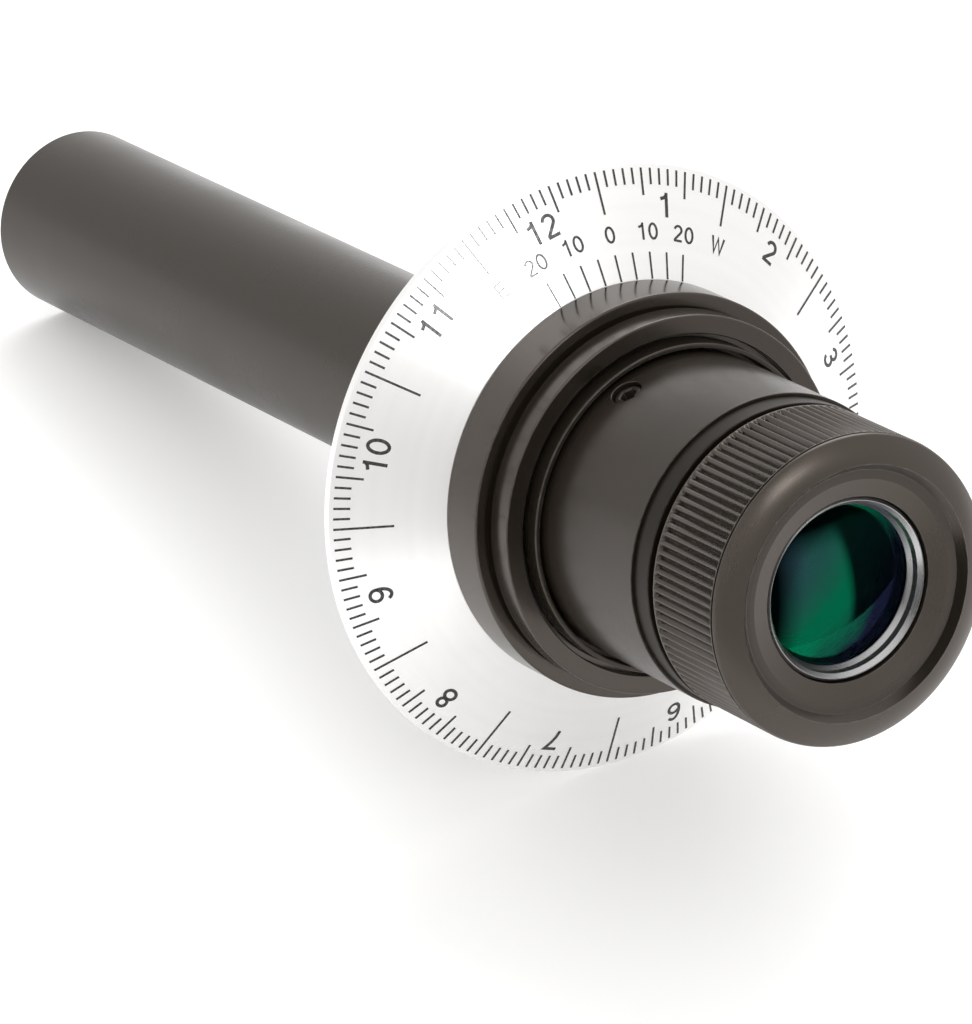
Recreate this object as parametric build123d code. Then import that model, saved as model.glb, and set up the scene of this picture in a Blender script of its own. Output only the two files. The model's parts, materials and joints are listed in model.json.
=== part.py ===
from build123d import *
import math
import os

# Polar alignment scope: a small sighting telescope that screws into the polar axis of a telescope mount.
# The optical axis is Y. The eye end points towards -Y, the far end towards +Y, and Z is up.
# The origin is the centre of the mounting shoulder, the face that seats against the telescope mount.
# Millimetres. Names ending in _R are radii about the optical axis.

# Driving dimensions
TUBE_R = 9.8
TUBE_BORE_R = 8.9
TUBE_END = 101.0
SOCKET_FLOOR = 3.0
SOCKET_DEPTH = 12.0
BOSS_R = 12.5

THREAD_R = 14.0
THREAD_LENGTH = 9.0
FLANGE_R = 22.0
FLANGE_THICKNESS = 3.5

DIAL_R = 31.0
DIAL_RIM_THICKNESS = 1.0
DIAL_CONE_R = 30.7
DIAL_CONE_RISE = 4.6
DIAL_HOLLOW_INNER_R = 23.2
DIAL_HOLLOW_OUTER_R = 28.9
DIAL_WALL = 1.4
JOURNAL_R = 16.6
NECK_REACH = 2.0

COLLAR_R = 20.5
COLLAR_LENGTH = 5.15
NUT_R = 19.1
NUT_GROOVE_R = 18.7
NUT_GROOVE_WIDTH = 0.6
NUT_LENGTH = 2.8
NUT_RECESS_R = 17.2
NUT_RECESS_DEPTH = 1.3
LIP_STAND = 1.3
LIP_ROUNDING = 0.2
WELL_R = 16.1
WELL_DEPTH = 2.5

BARREL_R = 15.7
BARREL_LENGTH = 15.5
BARREL_NECK_R = 13.38
BARREL_BORE_R = 12.6
NOSE_R = 15.35
NOSE_WIDTH = 2.4
NOSE_THREAD_R = 14.2
NOSE_THREAD_LENGTH = 6.2
NOSE_NECK_R = 13.78
NOSE_NECK_LENGTH = 5.8
NOSE_BORE_R = 12.0

RING_R = 15.4
RING_LENGTH = 10.45
RING_FACE_R = 15.27
RING_CHAMFER = 0.5
FOCUS_GAP = 0.95
RIM_R = 12.65
RIM_STAND = 1.1
COVE_R = 11.0
OPENING_R = 9.15
OPENING_DEPTH = 0.4
COVE_DEPTH = -0.2
RING_WALL = 1.95
RIM_ROUND = (13.9, 0.75)
COVE_ROUND = (12.2, 0.35)
RIDGES = 104
GROOVE_DEPTH = 0.42
KNURL_OPENING = 0.84
KNURL_FRONT_LAND = 0.5

SLEEVE_R = 11.95
SLEEVE_FLANGE_R = 13.6
SLEEVE_FLANGE_WIDTH = 1.2
SLEEVE_LENGTH = 19.9
EYE_LENS_R = 8.55
FOCUS_TRAVEL_IN = 0.5
FOCUS_TRAVEL_OUT = 3.0

RETICLE_FROM_DIAL = 16.5
CELL_R = 11.8
CELL_WIDTH = 3.6
CELL_OPENING_R = 7.5
CELL_POCKET_R = 8.6
CELL_LEDGE = 0.8
RETICLE_GLASS_THICKNESS = 1.5
SCREW_R = 1.5
SCREW_ANGLES = (-22.0, 98.0, 218.0)
SCREW_SUNK = 0.4
SOCKET_ACROSS_FLATS = 1.5
SCREW_SOCKET_DEPTH = 1.4
PIN_R = 0.8

# Clearances
RUNNING = 0.05
SLIP = 0.02

# Places along the optical axis, worked out from the shoulder at 0 towards the eye
FLANGE_FACE = -FLANGE_THICKNESS
WASHER_THICKNESS = 0.5
DIAL_BACK = FLANGE_FACE - WASHER_THICKNESS
DIAL_FACE = DIAL_BACK - DIAL_RIM_THICKNESS
CONE_TOP = DIAL_FACE - DIAL_CONE_RISE
COLLAR_BACK = CONE_TOP - RUNNING
COLLAR_FACE = COLLAR_BACK - COLLAR_LENGTH
NUT_STEP = COLLAR_FACE - NUT_GROOVE_WIDTH
NUT_FACE = NUT_STEP - NUT_LENGTH
LIP_FACE = NUT_FACE - LIP_STAND
WELL_FLOOR = LIP_FACE + WELL_DEPTH
NECK_END = DIAL_FACE - NECK_REACH
BARREL_FACE = LIP_FACE - BARREL_LENGTH
NOSE_FACE = BARREL_FACE - NOSE_WIDTH
NOSE_END = NOSE_FACE - NOSE_THREAD_LENGTH
RING_BACK = NOSE_FACE - FOCUS_GAP
RING_FACE = RING_BACK - RING_LENGTH
RIM_PEAK = RING_FACE - RIM_STAND
COVE_FACE = RING_FACE + COVE_DEPTH
OPENING_FACE = RING_FACE + OPENING_DEPTH
RING_WALL_BACK = OPENING_FACE + RING_WALL
SLEEVE_FRONT = RING_WALL_BACK + RUNNING
FLANGE_BACK = SLEEVE_FRONT + SLEEVE_FLANGE_WIDTH
SLEEVE_BACK = SLEEVE_FRONT + SLEEVE_LENGTH
RETICLE_Y = DIAL_FACE - RETICLE_FROM_DIAL


def turned(*outline, edge=0.0):
    """A solid turned about the optical axis from (radius, y) points, with every corner broken by edge."""
    profile = make_face(Polyline(*outline, close=True))
    if edge:
        profile = chamfer(profile.vertices(), edge)
    return revolve(profile, Axis.Y)


def ring(inner_r, outer_r, y_low, y_high, edge=0.0):
    """A plain ring about the optical axis."""
    return turned((inner_r, y_low), (outer_r, y_low), (outer_r, y_high), (inner_r, y_high), edge=edge)


def sag(curve_r, at_r):
    """How far a spherical surface falls back at a radius. A negative curve_r is a hollow surface."""
    depth = abs(curve_r) - math.sqrt(curve_r**2 - at_r**2)
    return math.copysign(depth, curve_r)


def lens(lens_r, eye_y, eye_curve, far_y, far_curve):
    """A lens from the places of its two vertices and the two curvatures. A curve of 0 is flat."""

    def surface(vertex_y, curve, towards):
        rim_y = vertex_y + towards * sag(curve, lens_r) if curve else vertex_y
        if not curve:
            return Line((0, vertex_y), (lens_r, vertex_y)), rim_y
        middle_y = vertex_y + towards * sag(curve, lens_r / 2)
        return ThreePointArc((0, vertex_y), (lens_r / 2, middle_y), (lens_r, rim_y)), rim_y

    eye_side, eye_rim = surface(eye_y, eye_curve, 1)
    far_side, far_rim = surface(far_y, far_curve, -1)
    edge = Line((lens_r, eye_rim), (lens_r, far_rim))
    middle = Line((0, eye_y), (0, far_y))
    return revolve(make_face([eye_side, edge, far_side, middle]), Axis.Y)


def around(angle, shape):
    """Turns a shape about the optical axis, clockwise as seen from the eye end."""
    return Rot(0, angle, 0) * shape


def upright_cylinder(cylinder_r, from_r, to_r, y):
    """A cylinder standing on the optical axis towards +Z, between two distances from the axis."""
    return Pos(0, y, (from_r + to_r) / 2) * Cylinder(cylinder_r, to_r - from_r)


# Telescope end

def main_tube():
    return turned(
        (TUBE_BORE_R, SOCKET_FLOOR),
        (TUBE_R, SOCKET_FLOOR),
        (TUBE_R, TUBE_END - 0.2),
        (TUBE_R - 0.2, TUBE_END),
        (TUBE_BORE_R + 0.3, TUBE_END),
        (TUBE_BORE_R, TUBE_END - 0.3),
    )


OBJECTIVE_CELL_LENGTH = 10.2
CELL_FRONT = TUBE_END - 0.8
CELL_BACK = CELL_FRONT - OBJECTIVE_CELL_LENGTH
LENS_SEAT = CELL_BACK + 2.0
LENS_LEDGE = 0.55
OBJECTIVE_R = 7.95
CEMENTED_Y = LENS_SEAT + 1.5
CROWN_VERTEX = CEMENTED_Y + 4.0
CEMENTED_CURVE = 30.0
CROWN_CURVE = 40.0


def objective_cell():
    return turned(
        (OBJECTIVE_R - LENS_LEDGE, CELL_BACK),
        (TUBE_BORE_R - SLIP, CELL_BACK),
        (TUBE_BORE_R - SLIP, CELL_FRONT),
        (OBJECTIVE_R + 0.35, CELL_FRONT),
        (OBJECTIVE_R + RUNNING, CELL_FRONT - 0.3),
        (OBJECTIVE_R + RUNNING, LENS_SEAT),
        (OBJECTIVE_R - LENS_LEDGE, LENS_SEAT),
    )


def objective_flint_lens():
    return lens(OBJECTIVE_R, LENS_SEAT, 0, CEMENTED_Y, -CEMENTED_CURVE)


def objective_crown_lens():
    return lens(OBJECTIVE_R, CEMENTED_Y + 0.01, CEMENTED_CURVE, CROWN_VERTEX, CROWN_CURVE)


OBJECTIVE_RING_WIDTH = 1.7


def objective_retaining_ring():
    inner_r = OBJECTIVE_R - LENS_LEDGE - 0.1
    back = CROWN_VERTEX - sag(CROWN_CURVE, inner_r) + RUNNING
    return ring(inner_r, OBJECTIVE_R + 0.03, back, back + OBJECTIVE_RING_WIDTH, edge=0.12)


BAFFLE_OPENING_R = 5.5
BAFFLE_THICKNESS = 0.8
BAFFLE_PLACES = (35.0, 62.0)


def light_baffles():
    baffle = ring(BAFFLE_OPENING_R, TUBE_BORE_R - SLIP, 0, BAFFLE_THICKNESS, edge=0.1)
    return Part() + [Pos(0, y, 0) * baffle for y in BAFFLE_PLACES]


# Mounting body and date circle

def mount_body():
    return turned(
        (TUBE_R, SOCKET_FLOOR + SOCKET_DEPTH),
        (BOSS_R - 0.4, SOCKET_FLOOR + SOCKET_DEPTH),
        (BOSS_R, SOCKET_FLOOR + SOCKET_DEPTH - 0.4),
        (BOSS_R, THREAD_LENGTH),
        (THREAD_R, THREAD_LENGTH),
        (THREAD_R, 0),
        (FLANGE_R - 0.3, 0),
        (FLANGE_R, -0.3),
        (FLANGE_R, FLANGE_FACE),
        (JOURNAL_R, FLANGE_FACE),
        (JOURNAL_R, LIP_FACE + LIP_ROUNDING),
        (JOURNAL_R - LIP_ROUNDING, LIP_FACE),
        (WELL_R + 0.1, LIP_FACE),
        (WELL_R, LIP_FACE + 0.1),
        (WELL_R, WELL_FLOOR),
        (BARREL_NECK_R + SLIP, WELL_FLOOR),
        (BARREL_NECK_R + SLIP, NECK_END),
        (TUBE_BORE_R, NECK_END),
        (TUBE_BORE_R, SOCKET_FLOOR),
        (TUBE_R, SOCKET_FLOOR),
    )


def friction_washer():
    return ring(JOURNAL_R + 0.1, FLANGE_R - 0.5, DIAL_BACK + SLIP, FLANGE_FACE - SLIP)


def dial_cone_y(at_r):
    """The place of the dial's conical face at a radius. It rises towards the eye as the radius shrinks."""
    return DIAL_FACE - DIAL_CONE_RISE * (DIAL_CONE_R - at_r) / (DIAL_CONE_R - COLLAR_R)


def date_circle():
    """A conical dial with a thin rim, hollowed out behind, that turns on the mount body's journal."""
    bore_r = JOURNAL_R + RUNNING
    return turned(
        (bore_r, DIAL_BACK),
        (DIAL_HOLLOW_INNER_R, DIAL_BACK),
        (DIAL_HOLLOW_INNER_R, dial_cone_y(DIAL_HOLLOW_INNER_R) + DIAL_WALL),
        (DIAL_HOLLOW_OUTER_R, dial_cone_y(DIAL_HOLLOW_OUTER_R) + DIAL_WALL),
        (DIAL_HOLLOW_OUTER_R, DIAL_BACK),
        (DIAL_R - 0.1, DIAL_BACK),
        (DIAL_R, DIAL_BACK - 0.1),
        (DIAL_R, DIAL_FACE + 0.2),
        (DIAL_CONE_R, DIAL_FACE),
        (COLLAR_R, CONE_TOP),
        (bore_r, CONE_TOP),
    )


SPRING_POCKET_R = 18.4
SPRING_POCKET_DEPTH = 0.5
SPRING_THICKNESS = 0.3


def spring_washer():
    return ring(JOURNAL_R + 0.1, SPRING_POCKET_R - 0.1, COLLAR_BACK - SPRING_THICKNESS, COLLAR_BACK)


def dial_collar():
    bore_r = JOURNAL_R + SLIP
    return turned(
        (bore_r, COLLAR_FACE),
        (COLLAR_R - 0.2, COLLAR_FACE),
        (COLLAR_R, COLLAR_FACE + 0.2),
        (COLLAR_R, COLLAR_BACK - 0.1),
        (COLLAR_R - 0.1, COLLAR_BACK),
        (SPRING_POCKET_R, COLLAR_BACK),
        (SPRING_POCKET_R, COLLAR_BACK - SPRING_POCKET_DEPTH),
        (bore_r, COLLAR_BACK - SPRING_POCKET_DEPTH),
    )


def collar_nut():
    bore_r = JOURNAL_R + SLIP
    return turned(
        (bore_r, COLLAR_FACE),
        (NUT_GROOVE_R, COLLAR_FACE),
        (NUT_GROOVE_R, NUT_STEP),
        (NUT_R - 0.1, NUT_STEP),
        (NUT_R, NUT_STEP - 0.1),
        (NUT_R, NUT_FACE + 0.15),
        (NUT_R - 0.15, NUT_FACE),
        (NUT_RECESS_R + 0.1, NUT_FACE),
        (NUT_RECESS_R, NUT_FACE + 0.1),
        (NUT_RECESS_R, NUT_FACE + NUT_RECESS_DEPTH),
        (bore_r, NUT_FACE + NUT_RECESS_DEPTH),
    )


# Eyepiece barrel, reticle and focusing thread

def eyepiece_barrel():
    body = turned(
        (BARREL_BORE_R, NECK_END - 0.2),
        (BARREL_NECK_R, NECK_END - 0.2),
        (BARREL_NECK_R, WELL_FLOOR),
        (BARREL_R, WELL_FLOOR),
        (BARREL_R, BARREL_FACE + 0.1),
        (BARREL_R - 0.1, BARREL_FACE),
        (NOSE_NECK_R + SLIP, BARREL_FACE),
        (NOSE_NECK_R + SLIP, BARREL_FACE + NOSE_NECK_LENGTH + 0.1),
        (BARREL_BORE_R, BARREL_FACE + NOSE_NECK_LENGTH + 0.1),
    )
    hole = upright_cylinder(SCREW_R + RUNNING, BARREL_BORE_R - 1.0, BARREL_R + 1.0, RETICLE_Y)
    return body - [around(angle, hole) for angle in SCREW_ANGLES]


CELL_FAR_FACE = RETICLE_Y + CELL_WIDTH / 2
CELL_EYE_FACE = RETICLE_Y - CELL_WIDTH / 2
RETICLE_SEAT = CELL_FAR_FACE - CELL_LEDGE


def reticle_cell():
    return turned(
        (CELL_OPENING_R, CELL_FAR_FACE),
        (CELL_R, CELL_FAR_FACE),
        (CELL_R, CELL_EYE_FACE),
        (CELL_POCKET_R, CELL_EYE_FACE),
        (CELL_POCKET_R, RETICLE_SEAT),
        (CELL_OPENING_R, RETICLE_SEAT),
    )


def reticle_glass():
    centre_y = RETICLE_SEAT - RETICLE_GLASS_THICKNESS / 2
    return Pos(0, centre_y, 0) * Rot(90, 0, 0) * Cylinder(CELL_POCKET_R - SLIP, RETICLE_GLASS_THICKNESS)


def reticle_retaining_ring():
    glass_face = RETICLE_SEAT - RETICLE_GLASS_THICKNESS
    return ring(CELL_OPENING_R, CELL_POCKET_R - SLIP, CELL_EYE_FACE + 0.1, glass_face - SLIP, edge=0.12)


def reticle_screw(angle):
    """A grub screw whose tip stops at the reticle cell and whose socket lies just under the barrel's surface."""
    tip_r = CELL_R + SLIP
    top_r = BARREL_R - SCREW_SUNK
    body = upright_cylinder(SCREW_R, tip_r, top_r, RETICLE_Y)
    body = chamfer(body.edges().filter_by(GeomType.CIRCLE), 0.2)
    hexagon = RegularPolygon(SOCKET_ACROSS_FLATS / 2, 6, major_radius=False)
    socket = Pos(0, RETICLE_Y, top_r - SCREW_SOCKET_DEPTH) * extrude(hexagon, 2 * SCREW_SOCKET_DEPTH)
    return around(angle, body - socket)


PIN_FROM_FACE = 3.0
PIN_Y = BARREL_FACE + PIN_FROM_FACE
PIN_REACH_R = 11.2


def barrel_nose_ring():
    body = turned(
        (NOSE_BORE_R, NOSE_END),
        (NOSE_THREAD_R - 0.3, NOSE_END),
        (NOSE_THREAD_R, NOSE_END + 0.3),
        (NOSE_THREAD_R, NOSE_FACE),
        (NOSE_R - 0.15, NOSE_FACE),
        (NOSE_R, NOSE_FACE + 0.15),
        (NOSE_R, BARREL_FACE - 0.12),
        (NOSE_R - 0.12, BARREL_FACE),
        (NOSE_NECK_R, BARREL_FACE),
        (NOSE_NECK_R, BARREL_FACE + NOSE_NECK_LENGTH),
        (NOSE_BORE_R, BARREL_FACE + NOSE_NECK_LENGTH),
    )
    hole = upright_cylinder(PIN_R, NOSE_BORE_R - 1.0, NOSE_NECK_R + 0.5, PIN_Y)
    return body - around(180, hole)


def guide_pin():
    return around(180, upright_cylinder(PIN_R, PIN_REACH_R, NOSE_NECK_R - 0.1, PIN_Y))


# Eyepiece sleeve and lenses, which slide without turning

EYE_VERTEX_STAND = 1.44
EYE_VERTEX = SLEEVE_FRONT - EYE_VERTEX_STAND
EYE_CURVE = 24.0
EYE_BACK_DEPTH = 1.4
EYE_BACK_RIM = SLEEVE_FRONT + EYE_BACK_DEPTH
EYE_BACK_CURVE = 60.0
GLASS_EDGE_R = 7.9
FIELD_LEDGE = 0.8
FIELD_THICKNESS = 3.9
FIELD_SEAT = SLEEVE_BACK - FIELD_LEDGE
FIELD_VERTEX = FIELD_SEAT - FIELD_THICKNESS
FIELD_CURVE = 22.0
SPACER_INNER_R = GLASS_EDGE_R + RUNNING
RETAINER_R = OPENING_R - 0.1
RETAINER_SEAT = SLEEVE_FRONT + 0.8
RETAINER_FACE = OPENING_FACE + 0.12
RETAINER_RIM = 0.33


def eyepiece_sleeve():
    body = turned(
        (EYE_LENS_R + RUNNING, RETAINER_SEAT),
        (RETAINER_R + SLIP, RETAINER_SEAT),
        (RETAINER_R + SLIP, SLEEVE_FRONT),
        (SLEEVE_FLANGE_R, SLEEVE_FRONT),
        (SLEEVE_FLANGE_R, FLANGE_BACK),
        (SLEEVE_R, FLANGE_BACK),
        (SLEEVE_R, SLEEVE_BACK),
        (GLASS_EDGE_R - 0.1, SLEEVE_BACK),
        (GLASS_EDGE_R - 0.1, FIELD_SEAT),
        (EYE_LENS_R + RUNNING, FIELD_SEAT),
    )
    slot_low = PIN_Y - PIN_R - FOCUS_TRAVEL_IN - 0.1
    slot_high = PIN_Y + PIN_R + FOCUS_TRAVEL_OUT + 0.1
    slot_floor_r = PIN_REACH_R - 0.1
    slot = Box(2 * PIN_R + 2 * RUNNING, slot_high - slot_low, SLEEVE_R - slot_floor_r + 1.0)
    slot = Pos(0, (slot_low + slot_high) / 2, slot_floor_r + (SLEEVE_R - slot_floor_r + 1.0) / 2) * slot
    return body - around(180, slot)


def field_lens():
    return lens(EYE_LENS_R, FIELD_VERTEX, FIELD_CURVE, FIELD_SEAT, 0)


def lens_spacer():
    back = FIELD_VERTEX + sag(FIELD_CURVE, SPACER_INNER_R) - RUNNING
    front = EYE_BACK_RIM + sag(EYE_BACK_CURVE, EYE_LENS_R) - sag(EYE_BACK_CURVE, SPACER_INNER_R) + RUNNING
    return ring(SPACER_INNER_R, EYE_LENS_R, front, back)


def eye_lens():
    back_vertex = EYE_BACK_RIM + sag(EYE_BACK_CURVE, EYE_LENS_R)
    return lens(EYE_LENS_R, EYE_VERTEX, EYE_CURVE, back_vertex, EYE_BACK_CURVE)


def eye_lens_retainer():
    """Screws into the sleeve's mouth and holds the eye lens by a thin conical lip."""
    glass_y = EYE_VERTEX + sag(EYE_CURVE, GLASS_EDGE_R)
    glass_rim_y = EYE_VERTEX + sag(EYE_CURVE, EYE_LENS_R)
    return turned(
        (EYE_LENS_R + RUNNING, RETAINER_SEAT),
        (RETAINER_R, RETAINER_SEAT),
        (RETAINER_R, RETAINER_FACE + 0.15),
        (RETAINER_R - 0.15, RETAINER_FACE),
        (RETAINER_R - RETAINER_RIM, RETAINER_FACE),
        (GLASS_EDGE_R, glass_y - 0.12),
        (GLASS_EDGE_R, glass_y - 0.03),
        (EYE_LENS_R + RUNNING, glass_rim_y - 0.03),
    )


# Focus ring, which turns on the nose thread and carries the sleeve

def knurl_groove():
    """One straight V groove along the ring's outside, as a three-sided bar at the top of the ring."""
    half_width = KNURL_OPENING * math.pi * RING_R / RIDGES
    back = RING_BACK + 1.0
    profile = Polyline(
        (0, RING_R - GROOVE_DEPTH),
        (half_width, RING_R + 0.05),
        (-half_width, RING_R + 0.05),
        close=True,
    )
    length = back - (RING_FACE + KNURL_FRONT_LAND)
    section = Plane(origin=(0, back, 0), x_dir=(1, 0, 0), z_dir=(0, -1, 0)) * make_face(profile)
    return extrude(section, length)


def focus_ring():
    bore_r = NOSE_THREAD_R + RUNNING
    outline = [
        Line((bore_r, RING_WALL_BACK), (bore_r, RING_BACK)),
        Line((bore_r, RING_BACK), (RING_R - 0.15, RING_BACK)),
        Line((RING_R - 0.15, RING_BACK), (RING_R, RING_BACK - 0.15)),
        Line((RING_R, RING_BACK - 0.15), (RING_R, RING_FACE + RING_CHAMFER)),
        Line((RING_R, RING_FACE + RING_CHAMFER), (RING_FACE_R, RING_FACE)),
        ThreePointArc((RING_FACE_R, RING_FACE), (RIM_ROUND[0], RING_FACE - RIM_ROUND[1]), (RIM_R, RIM_PEAK)),
        ThreePointArc((RIM_R, RIM_PEAK), (COVE_ROUND[0], RING_FACE - COVE_ROUND[1]), (COVE_R, COVE_FACE)),
        Line((COVE_R, COVE_FACE), (OPENING_R, OPENING_FACE)),
        Line((OPENING_R, OPENING_FACE), (OPENING_R, RING_WALL_BACK)),
        Line((OPENING_R, RING_WALL_BACK), (bore_r, RING_WALL_BACK)),
    ]
    body = revolve(make_face(outline), Axis.Y)
    groove = knurl_groove()
    return body - [around(360 * i / RIDGES, groove) for i in range(RIDGES)]


RETAINING_RING_WIDTH = 1.0


def sleeve_retaining_ring():
    front = FLANGE_BACK + RUNNING
    return ring(SLEEVE_R + 0.1, NOSE_THREAD_R, front, front + RETAINING_RING_WIDTH)


PARTS = {
    "main_tube": main_tube(),
    "objective_cell": objective_cell(),
    "objective_flint_lens": objective_flint_lens(),
    "objective_crown_lens": objective_crown_lens(),
    "objective_retaining_ring": objective_retaining_ring(),
    "light_baffles": light_baffles(),
    "mount_body": mount_body(),
    "friction_washer": friction_washer(),
    "date_circle": date_circle(),
    "spring_washer": spring_washer(),
    "dial_collar": dial_collar(),
    "collar_nut": collar_nut(),
    "eyepiece_barrel": eyepiece_barrel(),
    "reticle_cell": reticle_cell(),
    "reticle_glass": reticle_glass(),
    "reticle_retaining_ring": reticle_retaining_ring(),
    "reticle_screw_1": reticle_screw(SCREW_ANGLES[0]),
    "reticle_screw_2": reticle_screw(SCREW_ANGLES[1]),
    "reticle_screw_3": reticle_screw(SCREW_ANGLES[2]),
    "barrel_nose_ring": barrel_nose_ring(),
    "guide_pin": guide_pin(),
    "eyepiece_sleeve": eyepiece_sleeve(),
    "field_lens": field_lens(),
    "lens_spacer": lens_spacer(),
    "eye_lens": eye_lens(),
    "eye_lens_retainer": eye_lens_retainer(),
    "focus_ring": focus_ring(),
    "sleeve_retaining_ring": sleeve_retaining_ring(),
}

os.makedirs("parts", exist_ok=True)
for name, shape in PARTS.items():
    export_step(shape, os.path.join("parts", name + ".step"))
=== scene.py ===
import json
import math

import bmesh
import bpy
from mathutils import Matrix, Vector


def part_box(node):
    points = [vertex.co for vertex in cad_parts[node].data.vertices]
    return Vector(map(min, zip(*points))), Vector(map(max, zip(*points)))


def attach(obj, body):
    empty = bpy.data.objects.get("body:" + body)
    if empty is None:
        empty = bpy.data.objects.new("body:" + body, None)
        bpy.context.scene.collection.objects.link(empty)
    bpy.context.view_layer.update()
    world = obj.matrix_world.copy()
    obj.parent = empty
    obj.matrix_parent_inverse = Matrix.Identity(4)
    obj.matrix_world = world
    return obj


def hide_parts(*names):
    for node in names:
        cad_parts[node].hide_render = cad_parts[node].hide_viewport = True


# Polar alignment scope. Outlines are in millimetres as (radius, y) about the optical axis, which is Y.
# The eye end points towards -Y. Angles are degrees clockwise from +Z as seen from the eye end.

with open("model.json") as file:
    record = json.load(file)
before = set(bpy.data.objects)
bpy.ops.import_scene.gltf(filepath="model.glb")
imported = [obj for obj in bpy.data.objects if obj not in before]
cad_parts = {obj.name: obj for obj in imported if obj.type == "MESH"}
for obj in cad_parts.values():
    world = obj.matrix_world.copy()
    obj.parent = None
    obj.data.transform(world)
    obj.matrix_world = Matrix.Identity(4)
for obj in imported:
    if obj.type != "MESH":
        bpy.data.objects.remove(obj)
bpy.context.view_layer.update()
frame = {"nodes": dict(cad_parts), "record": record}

MM = 0.001
CORNER = 0.06  # how far a corner is rounded where an outline doesn't say
SMOOTH_BELOW = math.radians(38)
TURN = 2 * math.pi

BODY_OF = {node: body for body, nodes in frame["record"]["behaviour"]["bodies"].items() for node in nodes}
SLOT_OF = {part["node"]: part["material_slot"] for part in frame["record"]["subparts"]}


def span(node):
    """A node's outer radius, its end towards the eye and its far end, in millimetres."""
    low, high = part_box(node)
    return high.x / MM, low.y / MM, high.y / MM


# ---------------------------------------------------------------- materials

# A Mix node has sockets of the same name for each data type, so its colour sockets go by number.
MIX_SHARE, MIX_A, MIX_B, MIX_COLOUR = 0, 6, 7, 2


class Shader:
    """A material whose nodes are added one call at a time."""

    def __init__(self, name):
        self.material = bpy.data.materials.new(name)
        self.material.use_nodes = True
        self.tree = self.material.node_tree
        self.tree.nodes.clear()

    def add(self, kind, values=None, out=0, **settings):
        """Adds a node and returns one of its outputs. A value is another node's output or a plain value."""
        node = self.tree.nodes.new("ShaderNode" + kind)
        for key, value in settings.items():
            setattr(node, key, value)
        for key, value in (values or {}).items():
            socket = node.inputs[key]
            if isinstance(value, bpy.types.NodeSocket):
                self.tree.links.new(value, socket)
            else:
                socket.default_value = value
        return node.outputs[out]

    def math(self, operation, a, b=0.0):
        return self.add("Math", {0: a, 1: b}, operation=operation)

    def product(self, first, *others):
        """Everything multiplied together."""
        for other in others:
            first = self.math("MULTIPLY", first, other)
        return first

    def noise(self, vector, scale, detail=3.0, roughness=0.55):
        values = {"Vector": vector, "Scale": scale, "Detail": detail, "Roughness": roughness}
        return self.add("TexNoise", values)

    def between(self, value, low, high, to_low=0.0, to_high=1.0):
        """Goes from to_low to to_high while the value goes from low to high."""
        values = {"Value": value, "From Min": low, "From Max": high, "To Min": to_low, "To Max": to_high}
        return self.add("MapRange", values, clamp=True)

    def blend(self, share, a, b):
        """A colour between a and b."""
        return self.add("Mix", {MIX_SHARE: share, MIX_A: a, MIX_B: b}, MIX_COLOUR, data_type="RGBA")

    def place(self):
        return self.add("TexCoord", out="Object")

    def bump(self, height, distance, strength):
        """The normal of a surface with this height pattern. distance is its full height in millimetres."""
        return self.add("Bump", {"Strength": strength, "Distance": distance * MM, "Height": height})

    def split(self, vector):
        """The three coordinates of a vector."""
        node = self.tree.nodes.new("ShaderNodeSeparateXYZ")
        self.tree.links.new(vector, node.inputs[0])
        return tuple(node.outputs)

    def turned_place(self):
        """Coordinates that change only across the turning marks, not along them."""
        x, y, z = self.split(self.place())
        flat = self.add("CombineXYZ", {"X": x, "Z": z})
        radius = self.add("VectorMath", {0: flat}, "Value", operation="LENGTH")
        return self.add("CombineXYZ", {"X": radius, "Y": y})

    def edges(self, reach):
        """1 on convex and concave edges, 0 on plain surfaces."""
        soft = self.add("Bevel", {"Radius": reach * MM}, samples=4)
        plain = self.add("NewGeometry", out="Normal")
        same = self.add("VectorMath", {0: soft, 1: plain}, "Value", operation="DOT_PRODUCT")
        return self.between(same, 0.995, 0.86)

    def finish(self, surface):
        output = self.tree.nodes.new("ShaderNodeOutputMaterial")
        self.tree.links.new(surface, output.inputs["Surface"])
        return self.material


def grey(value, warmth=0.0):
    """A grey colour. Warmth moves it towards orange."""
    return (value * (1 + warmth), value, value * (1 - warmth), 1.0)


def anodised(name, shade, roughness, turning, edge_wear_and_highlight, shine=0.5):
    """Dyed aluminium: turning marks, a fine grain, uneven dye and bare edges. The bare grey on the edges is
    partly worn metal and partly a painted highlight along every edge, convex and concave.
    """
    s = Shader(name)
    place = s.place()
    across = s.turned_place()
    marks = s.noise(across, 5200, 4.0, 0.7)
    grain = s.noise(place, 16000, 2.0)
    patches = s.noise(place, 70, 4.0)
    height = s.math("ADD", s.math("MULTIPLY", marks, turning), s.math("MULTIPLY", grain, turning * 0.4))
    bump = s.bump(height, 0.010, 0.5)
    # Bare grey on every edge: partly worn metal, partly a painted highlight standing in for the light that
    # the edges catch.
    rubbed_edge_highlight = s.product(s.edges(0.16), s.between(s.noise(place, 900, 4.0), 0.35, 0.75), edge_wear_and_highlight)
    dye = s.blend(patches, grey(shade * 0.82, 0.32), grey(shade * 1.18, 0.26))
    colour = s.blend(rubbed_edge_highlight, dye, grey(0.42, 0.02))
    rough = s.math("ADD", s.between(patches, 0.3, 0.7, roughness - 0.04, roughness + 0.05),
                   s.math("MULTIPLY", marks, 0.08))
    return s.finish(s.add("BsdfPrincipled", {
        "Base Color": colour, "Roughness": rough, "Metallic": s.math("MULTIPLY", rubbed_edge_highlight, 0.8),
        "Specular IOR Level": shine, "Specular Tint": (1.0, 0.87, 0.78, 1.0), "Normal": bump}))


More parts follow.
